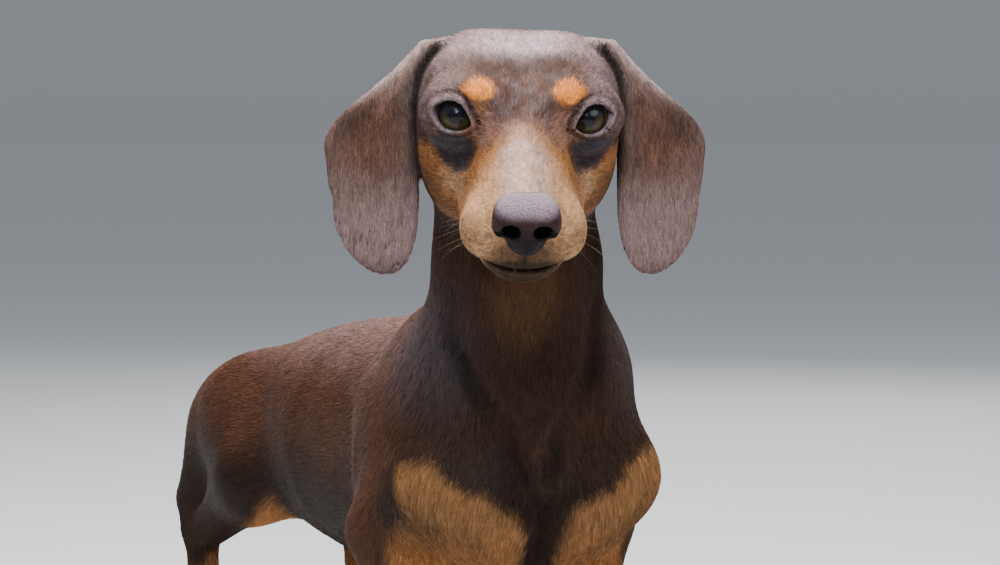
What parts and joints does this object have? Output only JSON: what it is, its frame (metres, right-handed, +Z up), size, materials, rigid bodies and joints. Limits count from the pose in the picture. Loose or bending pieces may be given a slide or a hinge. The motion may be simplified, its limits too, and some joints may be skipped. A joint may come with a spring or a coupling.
{
  "type": "dachshund",
  "caption": "Life-size figure of a smooth-coated miniature dachshund, chocolate and tan, standing with its head raised and turned to its right.",
  "frame": {"origin": "on the floor, under the middle of the figure's box", "axes": "+Z up; the trunk lies along Y with the chest toward -Y; the animal's left side is toward +X"},
  "size_m": [0.1554, 0.5774, 0.3015],
  "materials": {
    "chocolate_coat": "short smooth hair, dark chocolate brown",
    "ear_coat": "very short soft hair, chocolate brown",
    "tan_coat": "short smooth hair, rust tan",
    "nose_leather": "moist pebbled liver-brown skin",
    "eye": "wet, dark hazel"
  },
  "bodies": {
    "root": {"torso": "chocolate_coat", "neck": "chocolate_coat", "head": "chocolate_coat", "tail": "chocolate_coat", "foreleg_left": "chocolate_coat", "foreleg_right": "chocolate_coat", "hindleg_left": "chocolate_coat", "hindleg_right": "chocolate_coat", "ear_left": "ear_coat", "ear_right": "ear_coat", "lower_jaw": "tan_coat", "forepaw_left": "tan_coat", "forepaw_right": "tan_coat", "hindpaw_left": "tan_coat", "hindpaw_right": "tan_coat", "nose": "nose_leather", "eye_left": "eye", "eye_right": "eye"}
  },
  "joints": []
}
